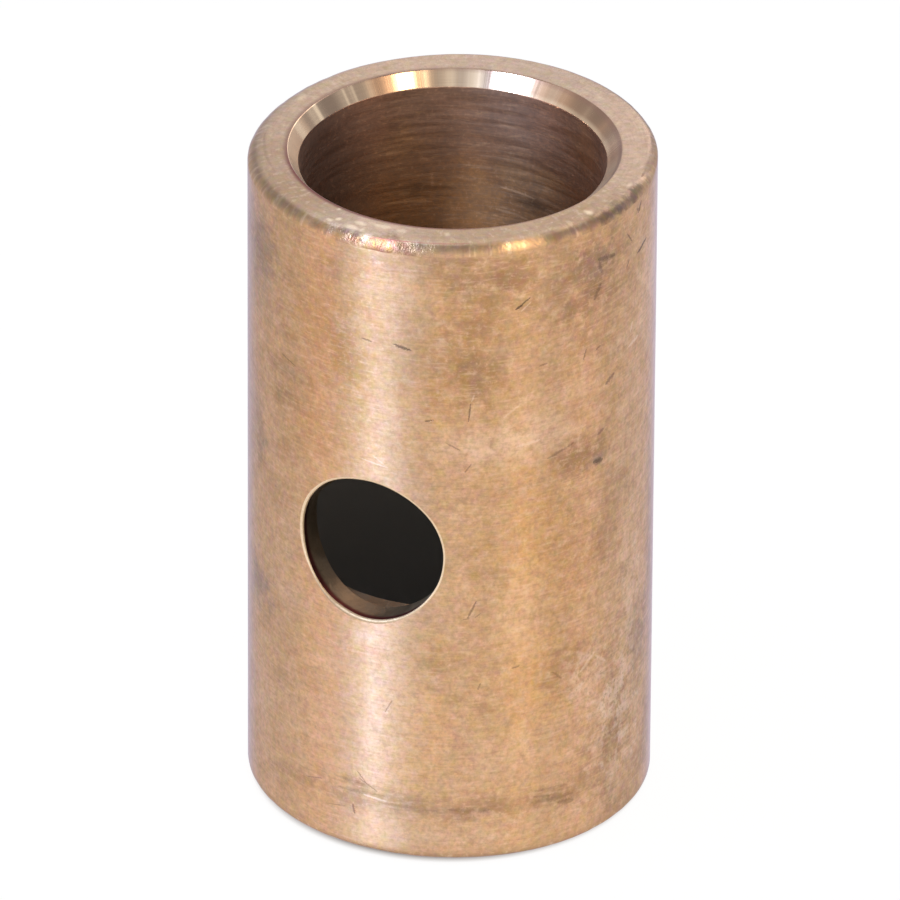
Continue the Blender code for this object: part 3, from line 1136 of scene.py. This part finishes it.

# %% Marks, painted shade and painted highlights in the mouth and the bore, counted from the back, and on the side hole's rim
# Dark patches in the mouth: partly darker metal, partly painted shade that narrows and dims the lamps'
# highlights.
MOUTH_DARK_AND_SHADE = (
    (75, 43.6, 2.0, 6.0, 0.8), (60, 43.6, 1.1, 6.0, 0.55), (50, 43.6, 1.2, 6.0, 0.95),
    (47.5, 43.6, 0.7, 6.0, 1.0), (36.5, 43.6, 0.6, 6.0, 0.8), (18, 43.6, 1.6, 6.0, 0.3),
    (12.0, 43.6, 0.8, 6.0, 1.0), (-6.5, 43.6, 0.6, 6.0, 0.5), (32, 43.6, 1.2, 6.0, 0.5),
    (89, 43.6, 0.7, 6.0, 0.5), (65, 43.6, 0.3, 6.0, 0.4), (-38, 43.9, 2.2, 1.4, 0.7),
    (-28, 43.9, 1.8, 1.4, 0.6), (-49, 43.9, 1.8, 1.4, 0.5), (150, 43.6, 5.0, 6.0, 0.5),
)
# Painted highlights and lighter streaks in the mouth, brightening places that catch light.
MOUTH_STREAKS_AND_HIGHLIGHTS = (
    (82.0, 43.6, 0.35, 6.0, 0.8), (66.6, 43.6, 0.16, 6.0, 0.35), (62.6, 43.6, 0.18, 6.0, 0.35),
    (112, 43.6, 4.0, 6.0, 0.55), (97, 43.6, 1.0, 6.0, 0.7), (16.0, 43.6, 1.0, 6.0, 0.5),
    (34.0, 43.6, 0.4, 6.0, 0.3), (25.0, 43.6, 0.5, 6.0, 0.3), (-20, 43.15, 4.0, 0.22, 0.45),
    (-40, 43.15, 4.0, 0.22, 0.45), (-60, 43.15, 4.0, 0.28, 0.45),
)
# Warmer, darker patches in the mouth: partly the metal's redder tone, partly painted shade that dims the
# lamps' highlights.
MOUTH_WARMTH_AND_SHADE = (
    (49, 43.6, 1.8, 6.0, 0.95), (-9, 43.6, 1.6, 6.0, 0.7), (-24, 43.6, 3.2, 6.0, 0.85),
    (-42, 43.6, 3.6, 6.0, 0.9), (-60, 43.6, 3.0, 6.0, 0.5), (100, 43.6, 3.0, 6.0, 0.6),
)
BORE_GREY = ((88, 38.0, 9.0, 12.0, 0.75),)
BORE_STREAKS = (
    ((5.9, 36.3), (-8.7, 36.0), 0.13, 0.4), ((7.8, 34.7), (-5.3, 34.4), 0.16, 0.3),
    ((50.2, 35.3), (31.7, 35.0), 0.14, 0.25), ((50.2, 38.8), (39.0, 39.0), 0.3, 0.3),
    ((48.2, 41.1), (41.4, 41.1), 0.22, 0.25), ((63.5, 36.6), (56.6, 37.0), 0.09, 0.18),
    ((5.3, 41.6), (-1.0, 41.7), 0.13, 0.28), ((6.0, 40.7), (-4.0, 40.8), 0.14, 0.32),
    ((4.0, 39.9), (-2.5, 40.2), 0.12, 0.28), ((3.2, 38.8), (-3.0, 38.9), 0.14, 0.25),
    ((2.8, 39.3), (-6.4, 39.4), 0.1, 0.22), ((4.0, 42.2), (-1.5, 42.3), 0.1, 0.22),
    ((17.5, 38.9), (9.9, 39.3), 0.16, 0.2),
)
BORE_SHADES = (
    (-5, 35.6, 2.4, 0.62, 0.7), (36, 36.0, 2.4, 0.6, 0.45), (22, 42.6, 3.0, 0.5, 0.35),
)
BORE_WARMTH = (
    (14, 35.6, 3.0, 2.6, 0.7), (2, 37.4, 2.2, 1.6, 0.6), (-14, 37.4, 2.6, 1.4, 0.5),
    (44, 39.5, 2.4, 1.4, 0.45), (-36, 41.0, 3.0, 2.4, 0.45),
)


# Painted shade on the lower part of the side hole's bright rim.
RIM_PAINTED_SHADE = ((-5, 17.7, 5.6, 2.4, 1.0),)
print("marks in the mouth:", len(MOUTH_DARK_AND_SHADE), "shades,", len(MOUTH_STREAKS_AND_HIGHLIGHTS), "lights")

# %% Turn lists of marks into masks
def unrolled_place(angle, height):
    return (math.radians(angle) * OUTER / MM, height, 0.0)


def scratches(tree, label, marks):
    """Return one mask of all the listed scratches."""
    mask = 0.0
    for start, end, width, strength in marks:
        one = use_group(tree, scratch, Unrolled=label, Start=unrolled_place(*start),
                        End=unrolled_place(*end), Width=width)["Mask"]
        mask = calc(tree, "MAXIMUM", mask, times(tree, one, strength))
    return mask


def patches(tree, label, cloud, marks):
    """Return one mask of all the listed soft patches, with edges broken up by a cloud."""
    mask = 0.0
    for angle, up, half_width, half_height, strength in marks:
        one = use_group(tree, smudge, Unrolled=label, Middle=unrolled_place(angle, up), Cloud=cloud,
                        Half_Size=(half_width, half_height, 1.0))["Mask"]
        mask = calc(tree, "MAXIMUM", mask, times(tree, one, strength))
    return mask


def near_end(tree, label):
    """Return a share that rises from 0 on the wall to 1 on the end faces."""
    end = LENGTH / 2 / MM
    from_middle = calc(tree, "SUBTRACT", split(tree, label)[1], end)
    return ramp(tree, calc(tree, "ABSOLUTE", from_middle), end - 1.2, end + 0.3)


# %% Finish of the outside
def outside_finish():
    material, tree, shader, position, place = bronze("turned_outside", 0.40, 0.9)
    label = place["Unrolled"]
    upward = split(tree, place["Millimetres"])[2]
    cloud = grain(tree, place["Millimetres"], 0.8, 5.0, 0.65)
    rings = turned(tree, position, 3.0, 7.0)
    hair = turned(tree, position, 12.0, 6.0)
    brown = tarnish(tree, position, 1.5, softness=0.14)
    pink = tarnish(tree, position, 1.1, 7.0)
    olive = tarnish(tree, position, 1.9, 19.0)
    speckle = grain(tree, place["Millimetres"], 4.0, 3.0, 0.7)
    mottle = grain(tree, place["Millimetres"], 1.3, 5.0, 0.65)
    blotch = grain(tree, place["Millimetres"], 0.9, 3.0, 0.6, 0.6)
    pitted = patches(tree, label, cloud, PITTED)
    uneven = ramp(tree, split(tree, label)[0], -1.0, 7.0, 0.5, 1.0)
    cuts = scratches(tree, label, SCRATCHES)
    brown_tarnish_and_shade = patches(tree, label, cloud, BROWN_TARNISH_AND_SHADE)

    color = paint(
        tree, BRONZE,
        (times(tree, olive, 0.45), (0.60, 0.41, 0.20, 1.0)),
        (times(tree, pink, 0.45), (0.68, 0.40, 0.30, 1.0)),
        # Painted shade: the colour turns darker and more golden towards the top.
        (ramp(tree, upward, 8.0, 40.0, 0.0, 0.25), GOLDEN),
        (patches(tree, label, cloud, GOLDEN_PATCHES), GOLDEN),
        (patches(tree, label, cloud, HONEY_PATCHES), HONEY),
        (patches(tree, label, cloud, PALE_RUBS_AND_HIGHLIGHTS), RUBBED_AND_HIGHLIGHT),
        (times(tree, brown, 0.22), BROWN),
        (brown_tarnish_and_shade, BROWN),
        (patches(tree, label, cloud, GREY_PATCHES), (0.36, 0.26, 0.22, 1.0)),
        (times(tree, uneven, ramp(tree, mottle, 0.36, 0.48, 0.26, 0.0)), BROWN),
        (times(tree, uneven, ramp(tree, mottle, 0.53, 0.66, 0.0, 0.34)), RUBBED_AND_HIGHLIGHT),
        (times(tree, pitted, ramp(tree, blotch, 0.44, 0.64, 0.0, 0.55)), CHALKY),
        (times(tree, pitted, ramp(tree, blotch, 0.32, 0.50, 0.50, 0.0)), BROWN),
        (times(tree, pitted, ramp(tree, speckle, 0.36, 0.43, 0.40, 0.0)), BROWN),
        (ramp(tree, rings, 0.30, 0.75, 0.0, 0.10), BROWN),
        (ramp(tree, speckle, 0.34, 0.56, 0.26, 0.0), BROWN),
        (ramp(tree, speckle, 0.55, 0.75, 0.0, 0.32), RUBBED_AND_HIGHLIGHT),
        (ramp(tree, hair, 0.52, 0.74, 0.0, 0.32), RUBBED_AND_HIGHLIGHT),
        (ramp(tree, hair, 0.26, 0.46, 0.28, 0.0), BROWN),
    )
    color = hue_drift(tree, color, place, 0.05)
    color = paint(
        tree, color,
        (near_end(tree, label), EDGE_BROWN_AND_SHADE),
        (scratches(tree, label, LIGHT_SCRATCHES), (1.0, 0.78, 0.60, 1.0)),
        (cuts, DARK),
    )
    put(tree, shader.inputs["Base Color"], painted_grazing_sheen(tree, color))

    rough = ramp(tree, plus(tree, brown, brown_tarnish_and_shade), 0.0, 1.6, 0.38, 0.48)
    rough = plus(tree, rough, ramp(tree, rings, 0.2, 0.8, -0.04, 0.05))
    put(tree, shader.inputs["Roughness"], rough)
    bump(tree, shader, (rings, 0.003), (hair, 0.0015), (speckle, 0.004), (times(tree, cuts, -1.0), 0.02))
    return material


finishes = {"wall": outside_finish()}
print("finish:", finishes["wall"].name)

# %% [markdown]
# The edge and the end face share one finish, so that no line shows where one runs into the other. How
# far the surface leans tells the two apart: level metal is matte and scuffed, and the lean of the worn
# edge is rubbed smooth and marked by the file. The edge is also browner and darker, partly from wear and
# partly as painted shade for the dark surroundings it mirrors.

# %% Finish of the end faces and the worn edges
def rim_finish():
    material, tree, shader, position, place = bronze("worn_rim", 0.5, 0.3)
    label = place["Unrolled"]
    cloud = grain(tree, place["Millimetres"], 0.9, 4.0, 0.65)
    rings = turned(tree, position, 5.0, 4.0)
    strokes = turned(tree, position, 30.0, 1.0)
    clouds = tarnish(tree, position, 1.4, 11.0)
    scuffs = tarnish(tree, position, 0.40, 29.0)
    pink = tarnish(tree, position, 0.7, 53.0)
    olive = tarnish(tree, position, 0.8, 59.0)
    level = calc(tree, "ABSOLUTE", split(tree, node(tree, "NewGeometry").outputs["Normal"])[2])
    flat = ramp(tree, level, 0.80, 0.99)
    # File marks, tarnish and painted shade on the edge, laid on as one dark mask.
    shades = scratches(tree, label, EDGE_STROKES)
    shades = calc(tree, "MAXIMUM", shades, patches(tree, label, cloud, EDGE_TARNISH_AND_SHADE))

    face = paint(
        tree, (0.71, 0.46, 0.30, 1.0),
        (times(tree, clouds, 0.7), (0.58, 0.375, 0.245, 1.0)),
        (times(tree, pink, 0.5), (0.64, 0.42, 0.31, 1.0)),
        (times(tree, olive, 0.5), (0.60, 0.43, 0.25, 1.0)),
        (patches(tree, label, 0.5, FACE_WARMTH), (0.50, 0.29, 0.15, 1.0)),
        (patches(tree, label, 0.5, FACE_LIGHTS), (0.82, 0.52, 0.34, 1.0)),
    )
    edge = blend(tree, near_end(tree, label), (0.66, 0.385, 0.20, 1.0), EDGE_BROWN_AND_SHADE)
    color = paint(
        tree, blend(tree, flat, edge, face),
        (times(tree, scuffs, 0.35), (0.38, 0.24, 0.15, 1.0)),
        (ramp(tree, strokes, 0.52, 0.70, 0.0, 0.38), (0.92, 0.64, 0.43, 1.0)),
        (ramp(tree, strokes, 0.30, 0.46, 0.30, 0.0), (0.34, 0.21, 0.13, 1.0)),
        (ramp(tree, rings, 0.4, 0.8, 0.0, 0.25), BROWN),
        (patches(tree, label, cloud, EDGE_HIGHLIGHT_DIMMING), (0.26, 0.112, 0.052, 1.0)),
        (patches(tree, label, cloud, EDGE_PAINTED_HIGHLIGHT), (0.57, 0.36, 0.19, 1.0)),
        (shades, (0.19, 0.115, 0.08, 1.0)),
    )
    color = hue_drift(tree, color, place, 0.045)
    corner = ramp(tree, place["Radius"], (MOUTH - 0.05 * MM) / MM, (MOUTH + 0.28 * MM) / MM, 0.85, 0.0)
    aside = ramp(tree, calc(tree, "ABSOLUTE", split(tree, label)[0]), 10.0, 18.0)
    color = paint(
        tree, color,
        (corner, blend(tree, aside, (0.20, 0.05, 0.04, 1.0), (0.36, 0.20, 0.13, 1.0))),
        (scratches(tree, label, EDGE_RED), (0.40, 0.13, 0.09, 1.0)),
        (patches(tree, label, cloud, PAINTED_FACE_GLINTS), (1.0, 0.74, 0.48, 1.0)),
    )
    put(tree, shader.inputs["Base Color"], painted_grazing_sheen(tree, color))

    rough = plus(tree, ramp(tree, flat, 0.0, 1.0, 0.40, 0.50), times(tree, shades, 0.12))
    rough = plus(tree, rough, ramp(tree, strokes, 0.35, 0.7, 0.04, -0.06))
    put(tree, shader.inputs["Roughness"], rough)
    put(tree, shader.inputs["Anisotropic"], ramp(tree, flat, 0.0, 1.0, 0.9, 0.3))
    bump(tree, shader, (scuffs, 0.006), (strokes, 0.004), (rings, 0.004))
    return material


finishes["edge"] = finishes["end_face"] = rim_finish()
print("finish:", finishes["edge"].name)

# %% [markdown]
# The mouth chamfer is bright from the tool, streaked where the reamer chattered, with a dark line at its
# corner. The streaks are painted: lighter and darker colour stands in for the light the chatter facets
# catch, and listed patches paint shade and highlights where the lamps show in the chamfer. The bore is
# brown and ringed, with lighter tool streaks. The relief has never been touched.

# %% Finish of the mouth chamfers
def mouth_finish():
    material, tree, shader, position, place = bronze("bright_mouth", 0.2, 0.3)
    label = place["Unrolled From Back"]
    rings = turned(tree, position, 3.0, 6.0)
    chatter = grain(tree, turn_vector(tree, "SCALE", place["Outward"], 9.0), 1.0, 4.0, 0.7)
    corner = ramp(tree, place["Radius"], (MOUTH - 0.20 * MM) / MM, (MOUTH + 0.02 * MM) / MM, 0.0, 0.45)
    # The chatter streaks are painted reflections: lighter and darker colour for the light the chatter facets
    # catch.
    color = paint(
        tree, (0.66, 0.44, 0.28, 1.0),
        (ramp(tree, rings, 0.35, 0.7, 0.0, 0.30), (0.42, 0.29, 0.18, 1.0)),
        (ramp(tree, chatter, 0.40, 0.55, 0.35, 0.0), (0.42, 0.31, 0.21, 1.0)),
        (ramp(tree, chatter, 0.58, 0.70, 0.0, 0.30), (0.85, 0.62, 0.42, 1.0)),
        (patches(tree, label, 0.5, MOUTH_WARMTH_AND_SHADE), (0.54, 0.28, 0.15, 1.0)),
        (patches(tree, label, 0.5, MOUTH_DARK_AND_SHADE), (0.22, 0.135, 0.09, 1.0)),
        (patches(tree, label, 0.5, MOUTH_STREAKS_AND_HIGHLIGHTS), (0.98, 0.68, 0.43, 1.0)),
        (corner, (0.34, 0.17, 0.12, 1.0)),
    )
    put(tree, shader.inputs["Base Color"], color)
    around = split(tree, label)[0]
    rough = plus(tree, ramp(tree, chatter, 0.35, 0.65, 0.29, 0.21), ramp(tree, around, 20.5, 25.5, 0.0, 0.2))
    rough = plus(tree, rough, ramp(tree, around, -16.5, -13.0, 0.2, 0.0))
    put(tree, shader.inputs["Roughness"], rough)
    bump(tree, shader, (rings, 0.002), (chatter, 0.008))
    return material


finishes["mouth"] = mouth_finish()
print("finish:", finishes["mouth"].name)

# %% [markdown]
# Down the bore the metal turns from brown to a dull dark film, which is no longer bare metal. Metallic
# fades out there, so that the wall seen through the side hole stays dark and soft.

# %% Finish of the bore
def bore_finish():
    material, tree, shader, position, place = bronze("brown_bore", 0.42, 0.6)
    label = place["Unrolled From Back"]
    rings = turned(tree, position, 2.5, 3.4)
    hair = turned(tree, position, 6.0, 8.0)
    flecks = turned(tree, position, 9.0, 3.2)
    cloud = grain(tree, place["Millimetres"], 0.8, 5.0, 0.65)
    clouds = tarnish(tree, position, 2.2, 41.0)
    speckle = grain(tree, place["Millimetres"], 3.5, 4.0, 0.7)
    upward = split(tree, place["Millimetres"])[2]
    near_mouth = ramp(tree, upward, 35.0, 42.0)
    deep = ramp(tree, upward, 27.0, 32.5, 1.0, 0.0)
    light = blend(tree, near_mouth, (0.60, 0.27, 0.10, 1.0), (0.57, 0.31, 0.19, 1.0))
    dark = blend(tree, near_mouth, (0.36, 0.165, 0.06, 1.0), (0.36, 0.20, 0.125, 1.0))
    color = paint(
        tree, light,
        (ramp(tree, rings, 0.34, 0.66, 0.24, 0.58), dark),
        (patches(tree, label, cloud, BORE_WARMTH), (0.62, 0.31, 0.12, 1.0)),
        (ramp(tree, hair, 0.50, 0.72, 0.0, 0.45), (0.70, 0.42, 0.25, 1.0)),
        (times(tree, clouds, 0.30), (0.22, 0.14, 0.10, 1.0)),
        (ramp(tree, flecks, 0.60, 0.76, 0.0, 0.5), (0.78, 0.44, 0.22, 1.0)),
        (patches(tree, label, 0.5, BORE_GREY), (0.21, 0.165, 0.14, 1.0)),
        (patches(tree, label, cloud, BORE_SHADES), (0.16, 0.085, 0.04, 1.0)),
        (ramp(tree, speckle, 0.35, 0.60, 0.30, 0.0), (0.20, 0.14, 0.11, 1.0)),
        (ramp(tree, speckle, 0.55, 0.75, 0.0, 0.35), (0.80, 0.52, 0.34, 1.0)),
        (scratches(tree, label, BORE_STREAKS), (0.84, 0.49, 0.26, 1.0)),
        (deep, (0.26, 0.265, 0.245, 1.0)),
    )
    put(tree, shader.inputs["Base Color"], color)
    put(tree, shader.inputs["Metallic"], calc(tree, "SUBTRACT", 1.0, deep))
    put(tree, shader.inputs["Roughness"], ramp(tree, rings, 0.3, 0.7, 0.38, 0.48))
    bump(tree, shader, (rings, 0.004), (hair, 0.004))
    return material


finishes["bore"] = bore_finish()
print("finish:", finishes["bore"].name)

# %% [markdown]
# The relief has only ever met cutting oil, so it is a dull grey film without metal shine. The drilled
# wall is dark, with a burnt red line just inside the rim, and the rim itself was brought up bright by the
# deburring tool, except below, where a patch of painted shade keeps it darker.

# %% Finish of the relief, the drilled wall and its bright rim
def relief_finish():
    material, tree, shader, position, place = bronze("dull_relief", 0.8, 0.0)
    shader.inputs["Metallic"].default_value = 0.0
    clouds = tarnish(tree, position, 2.0, 43.0)
    color = blend(tree, clouds, (0.46, 0.44, 0.42, 1.0), (0.36, 0.34, 0.325, 1.0))
    put(tree, shader.inputs["Base Color"], color)
    return material


def drilled_finish():
    material, tree, shader, position, place = bronze("drilled_wall", 0.42, 0.0)
    clouds = tarnish(tree, position, 0.9, 13.0)
    near_rim = ramp(tree, place["Radius"], (OUTER - 0.75 * MM) / MM, (OUTER - 0.40 * MM) / MM)
    color = paint(
        tree, (0.36, 0.27, 0.17, 1.0),
        (times(tree, clouds, 0.5), (0.26, 0.19, 0.12, 1.0)),
        (near_rim, (0.14, 0.035, 0.03, 1.0)),
    )
    put(tree, shader.inputs["Base Color"], color)
    put(tree, shader.inputs["Roughness"], ramp(tree, clouds, 0.0, 1.0, 0.40, 0.5))
    bump(tree, shader, (clouds, 0.01))
    return material


def deburr_finish():
    material, tree, shader, position, place = bronze("bright_rim", 0.45, 0.0)
    nicks = tarnish(tree, position, 0.5, 17.0, cover=0.45)
    color = paint(
        tree, (0.82, 0.62, 0.40, 1.0),
        (times(tree, nicks, 0.4), (0.58, 0.42, 0.26, 1.0)),
        (patches(tree, place["Unrolled"], 0.5, RIM_PAINTED_SHADE), (0.42, 0.28, 0.16, 1.0)),
    )
    put(tree, shader.inputs["Base Color"], color)
    put(tree, shader.inputs["Roughness"], ramp(tree, nicks, 0.0, 1.0, 0.60, 0.68))
    bump(tree, shader, (nicks, 0.01))
    return material


finishes["relief"] = relief_finish()
finishes["drilled"] = drilled_finish()
finishes["deburr"] = deburr_finish()
print("finishes:", sorted({m.name for m in finishes.values()}))

# %% [markdown]
# ## Assemble the sleeve
#
# The lists become one mesh. Unused points go, the faces are turned to look outward, and edges sharper
# than the limit stay crisp while the rest shade smooth.

# %% One mesh from the lists
SHARP = math.radians(30)


def make_sleeve():
    mesh = bpy.data.meshes.new("bronze_sleeve")
    mesh.from_pydata(points, [], faces)
    for zone in ZONES:
        mesh.materials.append(finishes[zone])
    mesh.polygons.foreach_set("material_index", face_zones)
    work = bmesh.new()
    work.from_mesh(mesh)
    loose = [v for v in work.verts if not v.link_faces]
    bmesh.ops.delete(work, geom=loose, context="VERTS")
    bmesh.ops.recalc_face_normals(work, faces=work.faces)
    for face in work.faces:
        face.smooth = True
    for edge in work.edges:
        edge.smooth = edge.calc_face_angle(0.0) < SHARP
    open_edges = sum(1 for edge in work.edges if not edge.is_manifold)
    print("volume", round(work.calc_volume() / MM ** 3), "cubic mm, open edges", open_edges)
    work.to_mesh(mesh)
    work.free()
    made = bpy.data.objects.new("bronze_sleeve", mesh)
    bpy.context.scene.collection.objects.link(made)
    return made


sleeve = make_sleeve()
print("sleeve:", len(sleeve.data.vertices), "points,", len(sleeve.data.polygons), "faces")

# %% Tie the piece to the frame
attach(sleeve, "root")
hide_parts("sleeve")
